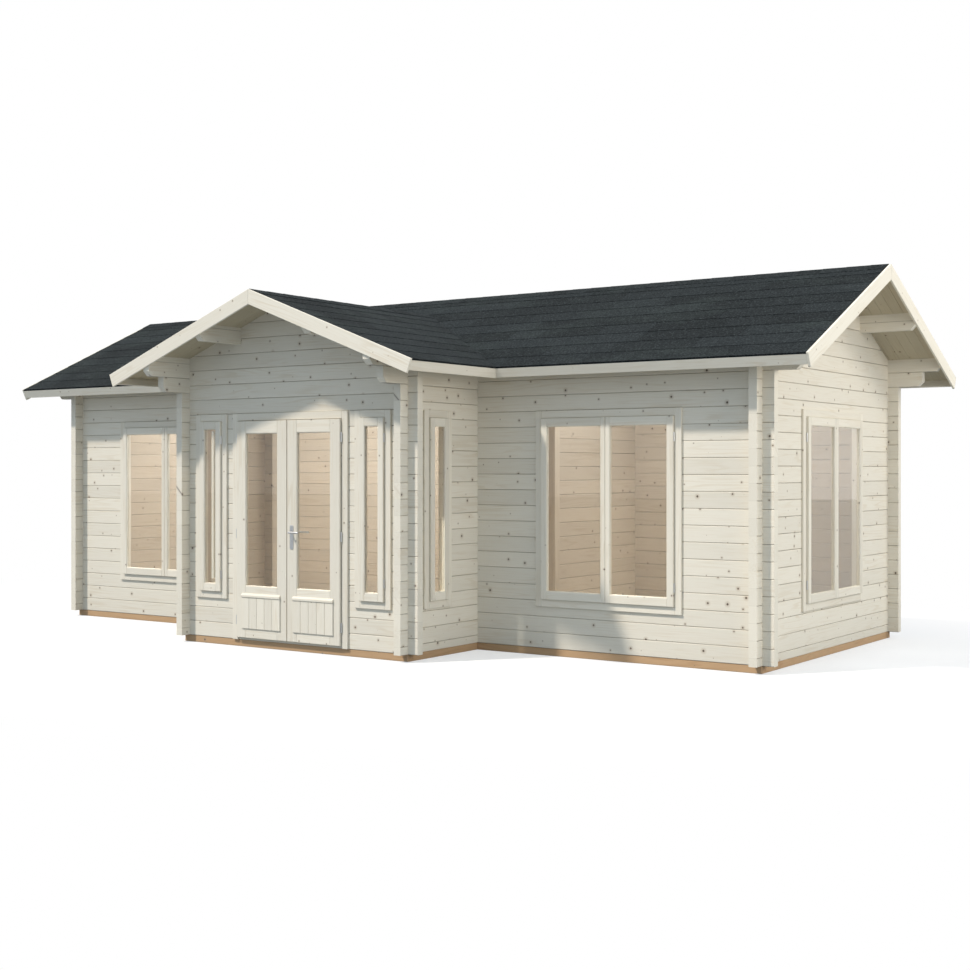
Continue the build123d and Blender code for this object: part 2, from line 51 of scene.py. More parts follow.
# Logs
LOG_COURSE = 0.135
JOINT_LINE = 0.0024
JOINT_REACH = 0.007
JOINT_DEPTH = 0.0035

# Roof
MAIN_PITCH = math.radians(25.3)
BAY_PITCH = math.radians(20.9)
SHINGLE_LAYER = 0.008
ROOF_BOARD = 0.018
ROOF_BOARD_WIDTH = 0.096
ROOF_BOARD_EASE = 0.003
BARGE_WIDTH = 0.120
BARGE_UPSTAND = 0.006
FASCIA_HEIGHT = 0.097
FASCIA_THICKNESS = 0.020
SHINGLE_EXPOSURE = 0.224
SHINGLE_LAP = 0.035
SHINGLE_THICKNESS = 0.0035
SHINGLE_GAP = 0.002
TAB_WIDTHS = (0.30, 0.95)
CAP_WING = 0.125
CAP_EXPOSURE = 0.21
CAP_LENGTH = 0.30
CAP_LIFTS = (0.0105, 0.0082)
CAP_THICKNESS = 0.0025

# Windows
CASING = 0.018
SASH_GAP = 0.002
LINING = 0.023
STOP = 0.012
PANE_REBATE = 0.010
BEAD_WIDTH = 0.004
BEAD_SETBACK = 0.004
BEAD_EASE = 0.001
JOINERY_EASE = 0.0025
INNER_CASING = 0.070
HINGE_RADIUS = 0.0065
HINGE_HEIGHT = 0.075
HINGE_SHARES = (0.1, 0.89)
HINGE_SPLIT = 0.001

# Door
LEAF_THICKNESS = 0.044
LEAF_STILE = 0.110
DOOR_GAP = 0.005
DOOR_LINING = 0.040
DOOR_STOP = 0.017
PANEL_SIDE = 0.070
PANEL_LOW = 0.106
PANEL_RAISE = 0.010
PANEL_BOARDS = 5
PANEL_EASE = 0.004
DRIP_LOW = 0.386
DRIP_HEIGHT = 0.038
DRIP_REACH = 0.016
DRIP_LIP_SHARE = 0.55
PLATE_CORNER = 0.012
PLATE_EASE = 0.001
LOCK_RADIUS = 0.0085
LOCK_DROP = 0.072
LOCK_PROUD = 0.004
SCREW_RADIUS = 0.0038
SCREW_INSET = 0.016
SCREW_PROUD = 0.0012
LEVER_RADIUS = 0.009
LEVER_BEND = 0.018
ROSE_RADIUS = 0.015
ROSE_PROUD = 0.006
ROSE_SIDES = 24
BEND_STEPS = 8

# Floor
FLOOR_BOARD_WIDTH = 0.118
FLOOR_BOARD_GAP = 0.0015
FLOOR_WALL_GAP = 0.005
FLOOR_EASE = 0.0015
FLOOR_CUT_SHARES = (0.25, 0.75)
BEAM_EASE = 0.004

# Wood and shingle textures
RELIEF = 0.001
BUMP_STRENGTH = 0.6
SHEEN = 0.25
GRAIN_RANGE = 60
LOG_SHIFT = 43.0
KNOT_CELLS = 6.2
KNOT_RADIUS = 0.021
KNOT_BEND = 0.012
FIBRE_SCALE = (5.0, 160.0, 160.0)
BAND_SCALE = (0.55, 9.0, 9.0)
PATCH_SCALE = (1.6, 6.0, 6.0)
BAND_TURNS = 60.0
WALL_STEP = 1.7
JOINT_SPREAD_SCALE = 1.3
END_RINGS = 34.0
GRANULE_SCALE = (62.0, 62.0, 62.0)
GRANULE_DEPTH = 0.0012
STAIN_SCALE = (1.2, 2.4, 2.4)
BRUSH_SCALE = (900.0, 900.0, 40.0)
BRUSH_DEPTH = 0.0002
PANE_IOR = 1.5
PANE_WAVER_SCALE = (1.4, 1.4, 1.4)
PANE_WAVER_DEPTH = 0.002

# Stage, light and camera
STAGE_REACH = 60.0
STAGE_LIFT = 0.5
STAGE_STRETCH = (1.0, 1.6, 0.0)
STAGE_FADE = (3.5, 9.0)
KEY_HEADING = (0.74, 1.0, -1.58)
KEY_STRENGTH = 3.3
KEY_COLOUR = (1.0, 0.93, 0.85)
KEY_ANGLE = math.radians(3.0)
SIDE_LAMPS = (((14.0, -2.6, 3.2), 390.0), ((11.5, 5.0, 6.0), 340.0))
SIDE_SIZE = 4.0
SIDE_COLOUR = (1.0, 0.92, 0.81)
SKY_STRENGTH = 0.77
SKY_COLOUR = (0.735, 0.865, 1.0, 1.0)
ROOM_POWERS = (115.0, 42.0)
ROOM_COLOUR = (0.95, 0.97, 1.0)
ROOM_LAMP_DROP = 0.35
ROOM_LAMP_WIDTH = 0.8
ROOM_LAMP_SHARE = 0.8
CAMERA_PLACE = (8.568, -11.315, 1.595)
CAMERA_TURN = (math.pi / 2, 0, math.radians(34.57))
CAMERA_SENSOR = 36.0
CAMERA_LENS = 53.5
CAMERA_SHIFT = -0.0169
CAMERA_REACH = 300.0


def box(node):
    low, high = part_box(node)
    return Vector(low), Vector(high)


def islands(node):
    """Boxes of a node's separate solids, as (lowest corner, highest corner)."""
    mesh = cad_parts[node].data
    leader = {}

    def find(key):
        while leader[key] != key:
            key = leader[key]
        return key

    for polygon in mesh.polygons:
        keys = [tuple(round(c, 5) for c in mesh.vertices[i].co) for i in polygon.vertices]
        for key in keys:
            leader.setdefault(key, key)
        for key in keys[1:]:
            leader[find(key)] = find(keys[0])
    groups = {}
    for key in leader:
        groups.setdefault(find(key), []).append(key)
    boxes = [(Vector(map(min, zip(*group))), Vector(map(max, zip(*group)))) for group in groups.values()]
    return sorted(boxes, key=lambda pair: tuple(pair[0]))


# Meshes


def prism(outline, run, ease):
    """A solid from an outline of points carried along a vector, with eased edges."""
    bm = bmesh.new()
    near = [bm.verts.new(point) for point in outline]
    far = [bm.verts.new(Vector(point) + Vector(run)) for point in outline]
    bm.faces.new(near)
    bm.faces.new(far[::-1])
    for i in range(len(near)):
        bm.faces.new((near[i], near[i - 1], far[i - 1], far[i]))
    bmesh.ops.recalc_face_normals(bm, faces=bm.faces[:])
    if ease:
        bmesh.ops.bevel(bm, geom=bm.edges[:], offset=ease, segments=1, affect="EDGES", clamp_overlap=True)
    return bm


def rod(radius, start, end, sides=16):
    """A round bar between two points."""
    start, end = Vector(start), Vector(end)
    axis = end - start
    bm = bmesh.new()
    turn = axis.to_track_quat("Z", "Y").to_matrix().to_4x4()
    middle = Matrix.Translation((start + end) / 2) @ turn
    bmesh.ops.create_cone(
        bm, cap_ends=True, segments=sides, radius1=radius, radius2=radius, depth=axis.length, matrix=middle
    )
    rims = [edge for edge in bm.edges if len({len(face.verts) for face in edge.link_faces}) == 2]
    bmesh.ops.bevel(bm, geom=rims, offset=radius / 5, segments=2, affect="EDGES")
    return bm


def tube(path, radius, sides=20):
    """A round bar along a level path, with a domed far end."""
    up = Vector((0, 0, 1))
    path = [Vector(point) for point in path]
    stations = []
    for i, point in enumerate(path):
        ahead = path[min(i + 1, len(path) - 1)] - path[max(i - 1, 0)]
        stations.append((point, ahead.normalized(), radius))
    end, heading, _ = stations[-1]
    dome_steps = 5
    for step in range(1, dome_steps + 1):
        turn = math.pi / 2 * step / (dome_steps + 1)
        stations.append((end + heading * radius * math.sin(turn), heading, radius * math.cos(turn)))
    bm = bmesh.new()
    rings = []
    for point, heading, reach in stations:
        side = heading.cross(up)
        angles = [2 * math.pi * i / sides for i in range(sides)]
        rings.append([bm.verts.new(point + reach * (math.cos(a) * up + math.sin(a) * side)) for a in angles])
    for near, far in zip(rings, rings[1:]):
        for i in range(sides):
            bm.faces.new((near[i], near[i - 1], far[i - 1], far[i]))
    bm.faces.new(rings[0])
    bm.faces.new(rings[-1][::-1])
    bmesh.ops.recalc_face_normals(bm, faces=bm.faces[:])
    return bm


class Parts:
    """Solids gathered in one mesh. Each keeps its place along its own grain, and a tone."""

    def __init__(self):
        self.points = []
        self.faces = []
        self.grain = []
        self.tone = []

    def solid(self, bm, axis, place=Matrix()):
        """Adds a bmesh whose grain runs along one of its own axes."""
        start = len(self.points)
        shift = Vector([dice.uniform(0, GRAIN_RANGE) for _ in range(3)])
        tone = dice.random()
        bm.verts.index_update()
        for vertex in bm.verts:
            self.points.append(place @ vertex.co)
            self.grain.append(Vector([vertex.co[(axis + i) % 3] for i in range(3)]) + shift)
            self.tone.append(tone)
        self.faces += [[start + vertex.index for vertex in face.verts] for face in bm.faces]
        bm.free()

    def board(self, low, high, ease, axis=None, place=Matrix()):
        """Adds a board between two corners. Its grain runs along its longest side unless told."""
        size = Vector(high) - Vector(low)
        if axis is None:
            axis = max(range(3), key=lambda i: size[i])
        outline = [(low[0], low[1]), (high[0], low[1]), (high[0], high[1]), (low[0], high[1])]
        self.solid(prism([(x, y, low[2]) for x, y in outline], (0, 0, size[2]), ease), axis, place)

    def piece(self, name, material, slot, body="cabin", replaces=(), smooth=False):
        """Makes the object and sets it on its body."""
        mesh = bpy.data.meshes.new(name)
        mesh.from_pydata(self.points, [], self.faces)
        grain = mesh.attributes.new("grain", "FLOAT_VECTOR", "POINT")
        grain.data.foreach_set("vector", [c for place in self.grain for c in place])
        tone = mesh.attributes.new("tone", "FLOAT", "POINT")
        tone.data.foreach_set("value", self.tone)
        if smooth:
            mesh.shade_smooth()
            mesh.set_sharp_from_angle(angle=math.radians(40))
        mesh.materials.append(material)
        piece = bpy.data.objects.new(name, mesh)
        bpy.context.scene.collection.objects.link(piece)
        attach(piece, body)
        if replaces:
            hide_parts(*replaces)
        return piece


# Materials


class Shade:
    """Short calls for the nodes of a material or a world."""

    def __init__(self, owner):
        self.owner = owner
        owner.use_nodes = True
        self.tree = owner.node_tree
        self.tree.nodes.clear()

    def node(self, kind, inputs=(), **settings):
        made = self.tree.nodes.new("ShaderNode" + kind)
        for name, value in settings.items():
            setattr(made, name, value)
        for name, value in dict(inputs).items():
            if isinstance(value, bpy.types.NodeSocket):
                self.tree.links.new(value, made.inputs[name])
            else:
                made.inputs[name].default_value = value
        return made

    def math(self, operation, *values):
        return self.node("Math", enumerate(values), operation=operation).outputs[0]

    def product(self, vector, factors):
        return self.node("VectorMath", {0: vector, 1: factors}, operation="MULTIPLY").outputs[0]

    def split(self, vector):
        return self.node("SeparateXYZ", {0: vector}).outputs

    def join(self, x, y, z):
        return self.node("CombineXYZ", {0: x, 1: y, 2: z}).outputs[0]

    def noise(self, vector, detail=3.0, roughness=0.55, distortion=0.0):
        inputs = {"Vector": vector, "Scale": 1.0, "Detail": detail, "Roughness": roughness}
        inputs["Distortion"] = distortion
        return self.node("TexNoise", inputs).outputs["Fac"]

    def fade(self, value, start, end):
        """0 at start and below, 1 at end and past it, smooth between."""
        inputs = {"Value": value, "From Min": start, "From Max": end}
        return self.node("MapRange", inputs, interpolation_type="SMOOTHSTEP").outputs[0]

    def mix(self, share, first, second, blend="MIX"):
        made = self.node("Mix", {0: share, 6: first, 7: second}, data_type="RGBA", blend_type=blend)
        return made.outputs[2]

    def finish(self, colour, roughness, height=None, depth=RELIEF, **fixed):
        shader = self.node("BsdfPrincipled", {"Base Color": colour, "Roughness": roughness})
        for name, value in fixed.items():
            shader.inputs[name.replace("_", " ")].default_value = value
        if height is not None:
            bump = self.node("Bump", {"Height": height, "Strength": BUMP_STRENGTH, "Distance": depth})
            self.tree.links.new(bump.outputs[0], shader.inputs["Normal"])
        return self.surface(shader, "OutputMaterial")

    def surface(self, shader, kind):
        """Links a shader to the output, and gives back what the nodes belong to."""
        output = self.node(kind)
        self.tree.links.new(shader.outputs[0], output.inputs[0])
        return self.owner


def paint(red, green, blue):
    return (red, green, blue, 1.0)


STAGE_PALE = paint(0.86, 0.86, 0.86)
STAGE_BOUNCE = paint(0.23, 0.25, 0.265)
WHITEWASH = (paint(0.785, 0.735, 0.63), paint(0.66, 0.57, 0.43))
NATURAL = (paint(0.57, 0.49, 0.385), paint(0.46, 0.365, 0.25))
SHADED = (paint(0.54, 0.475, 0.345), paint(0.44, 0.355, 0.225))
TREATED = (paint(0.55, 0.36, 0.205), paint(0.40, 0.23, 0.112))
KNOT_CORE = paint(0.10, 0.075, 0.055)
KNOT_HALO = paint(0.42, 0.32, 0.22)
# Painted shade for the gaps between logs at the bed joints.
JOINT_SHADE = paint(0.27, 0.23, 0.18)
END_GRAIN = paint(0.78, 0.74, 0.64)


def room_mask(s, place):
    """1 inside the rooms, on the inner faces of the walls, and 0 outside."""
    margin = 0.003
    gable = box("right_gable_wall")[0].x + margin
    front = box("front_wall_right")[1].y - margin
    back = box("back_wall")[0].y + margin
    bay_side = box("bay_right_wall")[0].x + margin
    bay_front = box("bay_gable_wall")[1].y - margin
    x, y, _ = s.split(place)
    wide = s.math("ABSOLUTE", x)
    masks = []
    for half, low, high in ((gable, front, back), (bay_side, bay_front, back)):
        across = s.math("LESS_THAN", wide, half)
        deep = s.math("MULTIPLY", s.math("GREATER_THAN", y, low), s.math("LESS_THAN", y, high))
        masks.append(s.math("MULTIPLY", across, deep))
    return s.math("MAXIMUM", *masks)


def timber(s, place, tone, colours, knots=1.0):
    """Colour, roughness and height of wood whose grain runs along the place's first axis."""
    along, across, height = s.split(place)
    along = s.math("MULTIPLY_ADD", tone, LOG_SHIFT, along)
    flat = s.join(along, s.math("ADD", across, height), 0.0)
    cells = s.node("TexVoronoi", {"Vector": flat, "Scale": KNOT_CELLS}, voronoi_dimensions="2D")
    reach = s.math("DIVIDE", cells.outputs["Distance"], KNOT_CELLS)
    chance = s.split(cells.outputs["Color"])[0]
    radius = s.math("MULTIPLY", s.fade(chance, 0.2, 1.7), KNOT_RADIUS * knots)
    core = s.math("SUBTRACT", 1.0, s.fade(s.math("DIVIDE", reach, s.math("ADD", radius, 1e-5)), 0.6, 1.0))
    halo = s.math("SUBTRACT", 1.0, s.fade(s.math("DIVIDE", reach, s.math("ADD", radius, 1e-5)), 0.8, 3.0))

    bend = s.math("MULTIPLY_ADD", halo, KNOT_BEND, height)
    running = s.join(along, across, bend)
    fibre = s.noise(s.product(running, FIBRE_SCALE), 4.0, 0.6)
    bands = s.noise(s.product(running, BAND_SCALE), 2.0, 0.5)
    rings = s.math("SINE", s.math("MULTIPLY", bands, BAND_TURNS))
    figure = s.fade(rings, 0.1, 1.0)
    patches = s.noise(s.product(place, PATCH_SCALE), 2.0)

    warm = s.math("MULTIPLY", figure, s.fade(patches, 0.35, 0.75))
    warm = s.math("MULTIPLY_ADD", s.fade(fibre, 0.45, 0.8), 0.35, s.math("MULTIPLY", warm, 0.45))
    colour = s.mix(warm, *colours)
    shade = s.math("MULTIPLY_ADD", tone, 0.10, 0.93)
    colour = s.mix(1.0, colour, s.join(shade, shade, shade), "MULTIPLY")
    colour = s.mix(s.math("MULTIPLY", halo, 0.4), colour, KNOT_HALO)
    colour = s.mix(s.math("MULTIPLY", core, s.math("MULTIPLY_ADD", chance, 0.5, 0.45)), colour, KNOT_CORE)
    roughness = s.math("MULTIPLY_ADD", fibre, 0.2, 0.5)
    relief = s.math("ADD", s.math("MULTIPLY", fibre, 0.35), s.math("MULTIPLY", core, -0.5))
    return colour, roughness, relief


def log_wood(name, axis, first_joint):
    """Logs along X or Y: one grain and tone a log, painted shade in the gaps of the bed joints, and end
    grain. Bare wood inside.
    """
    s = Shade(bpy.data.materials.new(name))
    place = s.node("TexCoord").outputs["Object"]
    x, y, z = s.split(place)
    along, across = (x, y) if axis == 0 else (y, x)
    level = s.math("DIVIDE", s.math("SUBTRACT", z, first_joint), LOG_COURSE)
    course = s.math("FLOOR", level)
    wall = s.math("FLOOR", s.math("MULTIPLY", across, WALL_STEP))
    each_log = {"Vector": s.join(course, wall, 0.0)}
    tone = s.node("TexWhiteNoise", each_log, noise_dimensions="2D").outputs["Value"]
    running = s.join(along, across, z)
    colour, roughness, relief = timber(s, running, tone, WHITEWASH)
    bare, _, _ = timber(s, running, tone, NATURAL)
    colour = s.mix(room_mask(s, place), colour, bare)

    facing = s.split(s.node("NewGeometry").outputs["True Normal"])[axis]
    end = s.math("GREATER_THAN", s.math("ABSOLUTE", facing), 0.8)
    part = s.math("SUBTRACT", s.math("FRACT", level), s.math("MULTIPLY_ADD", tone, 0.8, -0.2))
    pith = s.join(0.0, s.math("MULTIPLY", part, LOG_COURSE), s.math("MULTIPLY_ADD", tone, 0.1, across))
    years = s.node("TexWave", {"Vector": pith, "Scale": END_RINGS, "Distortion": 2.0}, wave_type="RINGS")
    years.rings_direction = "X"
    rings = s.mix(s.math("MULTIPLY", years.outputs["Fac"], 0.3), END_GRAIN, WHITEWASH[1])
    colour = s.mix(s.math("MULTIPLY", end, 0.35), colour, rings)

    # Painted shade: a dark line in the gap between logs at each bed joint. It is stronger in some stretches
    # than others and faint on end faces, and the same mask sinks the groove's bump.
    nearest = s.math("MULTIPLY", s.math("PINGPONG", level, 0.5), LOG_COURSE)
    uneven_joints = s.fade(s.noise(s.join(s.math("MULTIPLY", along, JOINT_SPREAD_SCALE), course, wall), 2.0), 0.35, 0.6)
    shown = s.math("MULTIPLY", s.math("MULTIPLY_ADD", end, -0.7, 0.9), s.math("MULTIPLY_ADD", uneven_joints, 0.5, 0.5))
    joint = s.math("MULTIPLY", s.fade(nearest, JOINT_LINE, JOINT_LINE * 0.4), shown)
    colour = s.mix(joint, colour, JOINT_SHADE)
    groove = s.math("MULTIPLY", s.fade(nearest, JOINT_REACH, 0.0), shown)
    height = s.math("MULTIPLY_ADD", groove, -JOINT_DEPTH / RELIEF, relief)
    return s.finish(colour, roughness, height, Specular_IOR_Level=SHEEN)


def board_wood(name, colours, knots=1.0, inside=False):
    """Boards that carry their own grain."""
    s = Shade(bpy.data.materials.new(name))
    place = s.node("Attribute", attribute_name="grain").outputs["Vector"]
    tone = s.node("Attribute", attribute_name="tone").outputs["Fac"]
    colour, roughness, relief = timber(s, place, tone, colours, knots)
    if inside:
        bare, _, _ = timber(s, place, tone, NATURAL, knots)
        colour = s.mix(room_mask(s, s.node("TexCoord").outputs["Object"]), colour, bare)
    return s.finish(colour, roughness, relief, Specular_IOR_Level=SHEEN)


def shingle():
    """Charcoal mineral granules, each tab a little lighter or darker than the next."""
    s = Shade(bpy.data.materials.new("shingle"))
    tone = s.node("Attribute", attribute_name="tone").outputs["Fac"]
    place = s.node("TexCoord").outputs["Object"]
    grains = s.noise(s.product(place, GRANULE_SCALE), 4.0, 0.8)
    stains = s.noise(s.product(place, STAIN_SCALE), 4.0, 0.65)
    colour = s.mix(tone, paint(0.011, 0.014, 0.015), paint(0.021, 0.026, 0.028))
    colour = s.mix(s.math("MULTIPLY", s.fade(stains, 0.46, 0.68), 0.6), colour, paint(0.030, 0.038, 0.037))
    colour = s.mix(s.math("MULTIPLY", s.fade(grains, 0.5, 0.66), 0.7), colour, paint(0.062, 0.07, 0.074))
    colour = s.mix(s.math("MULTIPLY", s.fade(grains, 0.5, 0.36), 0.75), colour, paint(0.004, 0.005, 0.006))
    roughness = s.math("MULTIPLY_ADD", grains, 0.15, 0.8)
    return s.finish(colour, roughness, grains, GRANULE_DEPTH, Specular_IOR_Level=0.06)


def steel():
    """Satin steel with a fine upright brushing."""
    s = Shade(bpy.data.materials.new("satin_steel"))
    place = s.node("TexCoord").outputs["Object"]
    lines = s.noise(s.product(place, BRUSH_SCALE), 2.0)
    colour = s.mix(lines, paint(0.52, 0.53, 0.54), paint(0.70, 0.71, 0.72))
    roughness = s.math("MULTIPLY_ADD", lines, 0.18, 0.24)
    return s.finish(colour, roughness, lines, BRUSH_DEPTH, Metallic=1.0)


def glass():
    """Clear panes that let the lamps through."""
    s = Shade(bpy.data.materials.new("pane_glass"))
    waver = s.noise(s.product(s.node("TexCoord").outputs["Object"], PANE_WAVER_SCALE), 1.0)
    bump = s.node("Bump", {"Height": waver, "Strength": 0.1, "Distance": PANE_WAVER_DEPTH})
    shader = s.node("BsdfPrincipled", {"Normal": bump.outputs[0]})
    shader.inputs["Base Color"].default_value = paint(0.97, 0.98, 0.97)
    shader.inputs["Roughness"].default_value = 0.0
    shader.inputs["IOR"].default_value = PANE_IOR
    shader.inputs["Transmission Weight"].default_value = 1.0
    clear = s.node("BsdfTransparent", {"Color": paint(0.93, 0.94, 0.93)})
    lamps = s.node("LightPath").outputs["Is Shadow Ray"]
    both = s.node("MixShader", {0: lamps, 1: shader.outputs[0], 2: clear.outputs[0]})
    return s.surface(both, "OutputMaterial")


ground = box("foundation_beams")
log_base = ground[1].z
LOGS_X = log_wood("logs_along_x", 0, log_base)
LOGS_Y = log_wood("logs_along_y", 1, log_base - LOG_COURSE / 2)
JOINERY = board_wood("joinery", WHITEWASH, 0.6)
CASINGS = board_wood("casings", WHITEWASH, 0.6, inside=True)
TRIM = board_wood("trim", WHITEWASH, 0.5)
SOFFIT = board_wood("roof_boards", SHADED, 1.0)
FLOORING = board_wood("flooring", NATURAL, 1.0)
BEAMS = board_wood("beams", TREATED, 1.0)
SHINGLE = shingle()
STEEL = steel()
GLASS = glass()


def coat(material, *nodes):
    for node in nodes:
        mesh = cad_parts[node].data
        mesh.materials.clear()
        mesh.materials.append(material)


coat(LOGS_X, "front_wall_left", "front_wall_right", "back_wall", "front_eave_logs", "back_eave_logs")
coat(LOGS_X, "bay_front_wall_left", "bay_front_wall_right", "bay_gable_wall", "main_purlins")
coat(LOGS_Y, "left_gable_wall", "right_gable_wall", "bay_left_wall", "bay_right_wall")
coat(LOGS_Y, "bay_eave_logs", "bay_purlins")
coat(LOGS_Y, "partition_near_wall", "partition_far_wall", "partition_top_wall")
coat(GLASS, "double_window_glass", "narrow_window_glass", "left_door_glass", "right_door_glass")
coat(SHINGLE, "shingles_back", "shingles_front", "bay_shingles")


# Foundation beams and floor boards


def floor_stretches(left, right, near, far):
    """The lengths of a row of floor boards, parted where a wall between the rooms stands on it."""
    for wall in ("partition_near_wall", "partition_far_wall"):
        low, high = box(wall)
        across = left < low.x and high.x < right
        if across and low.y - FLOOR_WALL_GAP < far and near < high.y + FLOOR_WALL_GAP:
            return [(left, low.x - FLOOR_WALL_GAP), (high.x + FLOOR_WALL_GAP, right)]
    return [(left, right)]


def lay_base():
    beams = Parts()
    for low, high in islands("foundation_beams"):
        beams.board(low, high, BEAM_EASE)
    beams.piece("ground_beams", BEAMS, "beam_wood", replaces=["foundation_beams"])

    floor = Parts()
    for low, high in islands("floor_boards"):
        rows = round((high.y - low.y) / FLOOR_BOARD_WIDTH)
        pitch = (high.y - low.y) / rows
        for row in range(rows):
            near = low.y + row * pitch
            far = near + pitch - FLOOR_BOARD_GAP
            for left, right in floor_stretches(low.x, high.x, near, far):
                cut = left + (right - left) * dice.uniform(*FLOOR_CUT_SHARES)
                for start, end in ((left, cut), (cut + FLOOR_BOARD_GAP, right)):
                    floor.board((start, near, low.z), (end, far, high.z), FLOOR_EASE, 0)
    floor.piece("laid_floor", FLOORING, "floor_wood", replaces=["floor_boards"])


# Roof: each slope has its own axes, along the eave, up the slope and out of it


def clip(polygon, region):
    """The part of a polygon inside a convex region that runs anticlockwise."""
    for start, end in zip(region, region[1:] + region[:1]):
        run, rise = end[0] - start[0], end[1] - start[1]
        side = [run * (y - start[1]) - rise * (x - start[0]) for x, y in polygon]
        kept = []
        for i, point in enumerate(polygon):
            before = polygon[i - 1]
            if (side[i] > 0) != (side[i - 1] > 0):
                share = side[i - 1] / (side[i - 1] - side[i])
                kept.append(tuple(a + (b - a) * share for a, b in zip(before, point)))
            if side[i] > 0:
                kept.append(point)
        polygon = kept
        if not polygon:
            break
    return polygon


class Slope:
    """A roof slope: an eave point, the way along it, the way up, and the outline of its shingles."""

    def __init__(self, eave, along, up, pitch, length, region):
        self.pitch = pitch
        self.length = length
        self.region = region
        rise = Vector(up) * math.cos(pitch) + Vector((0, 0, math.sin(pitch)))
        out = Vector((0, 0, math.cos(pitch))) - Vector(up) * math.sin(pitch)
        axes = Matrix((Vector(along), rise, out)).transposed().to_4x4()
        self.place = Matrix.Translation(eave) @ axes


def roof_slopes():
    low, high = box("shingles_front")
    bay_low, bay_high = box("bay_shingles")
    run = high.y - low.y
    length = run / math.cos(MAIN_PITCH)
    eave_z = high.z - run * math.tan(MAIN_PITCH)
    wide = bay_high.x
    bay_length = wide / math.cos(BAY_PITCH)
    valley = (bay_high.y - low.y) / math.cos(MAIN_PITCH)
    back_y = box("shingles_back")[1].y
    half = [(wide, 0), (high.x, 0), (high.x, length), (0, length), (0, valley)]
    other_half = [(-x, s) for x, s in half][::-1]
    whole = [(-high.x, 0), (high.x, 0), (high.x, length), (-high.x, length)]
    bay = [(bay_low.y, 0), (low.y, 0), (bay_high.y, bay_length), (bay_low.y, bay_length)]
    other_bay = [(-y, s) for y, s in bay][::-1]
    bay_eave = bay_high.z - wide * math.tan(BAY_PITCH)
    return {
        "front_right": Slope((0, low.y, eave_z), (1, 0, 0), (0, 1, 0), MAIN_PITCH, length, half),
        "front_left": Slope((0, low.y, eave_z), (1, 0, 0), (0, 1, 0), MAIN_PITCH, length, other_half),
        "back": Slope((0, back_y, eave_z), (-1, 0, 0), (0, -1, 0), MAIN_PITCH, length, whole),
        "bay_right": Slope((wide, 0, bay_eave), (0, 1, 0), (-1, 0, 0), BAY_PITCH, bay_length, bay),
        "bay_left": Slope((-wide, 0, bay_eave), (0, -1, 0), (1, 0, 0), BAY_PITCH, bay_length, other_bay),
    }


slopes = roof_slopes()


def tab(outline, low):
    """A shingle tab that lies on the course below it and runs under the course above."""
    reach = SHINGLE_EXPOSURE + SHINGLE_LAP
    bm = bmesh.new()
    tops = []
    feet = []
    for along, s in outline:
        lift = SHINGLE_THICKNESS * (1 - (s - low) / reach)
        tops.append(bm.verts.new((along, s, lift + SHINGLE_THICKNESS)))
        feet.append(bm.verts.new((along, s, lift)))
    bm.faces.new(tops)
    bm.faces.new(feet[::-1])
    for i in range(len(tops)):
        bm.faces.new((tops[i], tops[i - 1], feet[i - 1], feet[i]))
    bmesh.ops.recalc_face_normals(bm, faces=bm.faces[:])
    return bm


def lay_shingles(name, names):
    tabs = Parts()
    for slope in (slopes[key] for key in names):
        left = min(x for x, _ in slope.region)
        right = max(x for x, _ in slope.region)
        for course in range(math.ceil(slope.length / SHINGLE_EXPOSURE)):
            low = course * SHINGLE_EXPOSURE
            high = min(low + SHINGLE_EXPOSURE + SHINGLE_LAP, slope.length)
            start = left - dice.uniform(0, TAB_WIDTHS[1])
            while start < right:
                end = start + dice.uniform(*TAB_WIDTHS)
                drop = dice.choice((0, 0, SHINGLE_GAP))
                corners = [(start, low + drop), (end - SHINGLE_GAP, low + drop)]
                corners += [(end - SHINGLE_GAP, high), (start, high)]
                outline = clip(corners, slope.region)
                if len(outline) > 2:
                    tabs.solid(tab(outline, low), 0, slope.place)
                start = end
    tabs.piece(name, SHINGLE, "shingle")


def lay_caps():
    """Folded caps along the two ridges."""
    caps = Parts()
    main_low, main_high = box("shingles_front")
    bay_low, bay_high = box("bay_shingles")
    along_x = Matrix.Translation((0, main_high.y, main_high.z))
    along_y = Matrix.Translation((0, 0, bay_high.z)) @ Matrix.Rotation(math.pi / 2, 4, "Z")
    runs = [(along_x, MAIN_PITCH, main_low.x, main_high.x), (along_y, BAY_PITCH, bay_low.y, bay_high.y)]
    for place, pitch, start, end in runs:
        count = math.ceil((end - start) / CAP_EXPOSURE)
        for i in range(count):
            near = start + i * CAP_EXPOSURE
            far = min(near + CAP_LENGTH, end)
            bm = bmesh.new()
            rings = []
            for x, top in zip((near, far), CAP_LIFTS):
                outline = []
                for h in (top, top - CAP_THICKNESS):
                    for side in (-1, 0, 1):
                        across = side * CAP_WING * math.cos(pitch)
                        outline.append((x, across, h - abs(side) * CAP_WING * math.sin(pitch)))
                order = outline[:3] + outline[:2:-1]
                rings.append([bm.verts.new(point) for point in order])
            for k in range(len(order)):
                bm.faces.new((rings[0][k], rings[0][k - 1], rings[1][k - 1], rings[1][k]))
            bm.faces.new(rings[0])
            bm.faces.new(rings[1][::-1])
            bmesh.ops.recalc_face_normals(bm, faces=bm.faces[:])
            caps.solid(bm, 0, place)
    caps.piece("ridge_caps", SHINGLE, "shingle")


